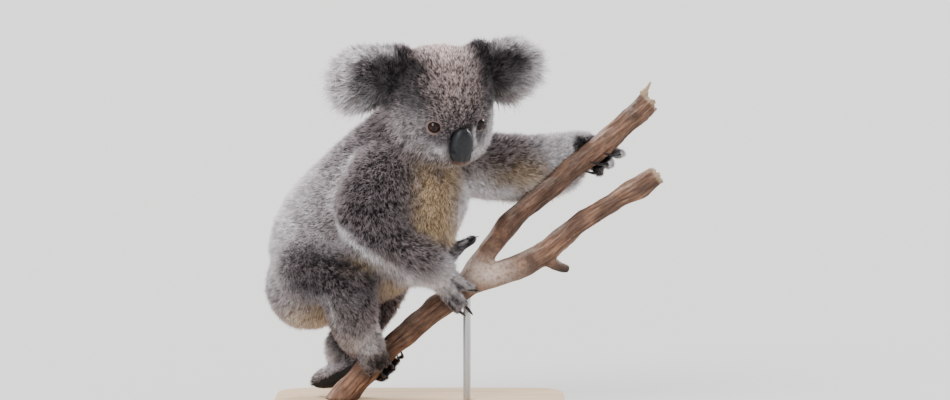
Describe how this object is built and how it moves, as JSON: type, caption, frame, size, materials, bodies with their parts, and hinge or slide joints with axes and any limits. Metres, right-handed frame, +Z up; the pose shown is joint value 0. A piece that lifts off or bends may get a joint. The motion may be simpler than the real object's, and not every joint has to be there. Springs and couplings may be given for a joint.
{
  "type": "life-size koala display model",
  "caption": "Still, life-size koala climbing a forked branch, held on a flat display base by the branch's foot and a short rod.",
  "frame": {"origin": "centre of the stand's underside, on the surface that it stands on", "axes": "+Z up; +X along the stand towards the branch's two cut ends, the way the koala climbs; -Y towards the side that the koala's face is turned to"},
  "size_m": [0.5148, 0.2608, 0.4932],
  "materials": {
    "coat": "dense woolly fur, grey flecked with white, cream on chest and belly",
    "paw": "short grey fur over dark, grained skin",
    "claw": "polished black horn",
    "nose_leather": "smooth, finely grained, slightly moist",
    "eye": "glossy brown eye with a dark pupil",
    "bark": "weathered bark, red-brown with pale worn patches",
    "stand_board": "satin-varnished plain board",
    "stand_steel": "brushed"
  },
  "bodies": {
    "root": {"perch_stem": "bark", "perch_upper_fork": "bark", "perch_lower_fork": "bark", "stand_base": "stand_board", "stand_rod": "stand_steel", "nose": "nose_leather", "eye_right": "eye", "eye_left": "eye", "claw_right_hand_1": "claw", "claw_right_hand_2": "claw", "claw_right_hand_3": "claw", "claw_right_hand_4": "claw", "claw_right_hand_5": "claw", "claw_left_hand_1": "claw", "claw_left_hand_2": "claw", "claw_left_hand_3": "claw", "claw_left_hand_4": "claw", "claw_left_hand_5": "claw", "claw_right_foot_1": "claw", "claw_right_foot_2": "claw", "claw_right_foot_3": "claw", "claw_right_foot_4": "claw", "claw_left_foot_1": "claw", "claw_left_foot_2": "claw", "claw_left_foot_3": "claw", "claw_left_foot_4": "claw", "head": "coat", "ear_right": "coat", "ear_left": "coat", "trunk": "coat", "neck": "coat", "upper_arm_right": "coat", "upper_arm_left": "coat", "thigh_right": "coat", "thigh_left": "coat", "right_hand": "paw", "left_hand": "paw", "right_foot": "paw", "left_foot": "paw", "forearm_right": "coat", "forearm_left": "coat", "shank_right": "coat", "shank_left": "coat"}
  },
  "joints": []
}
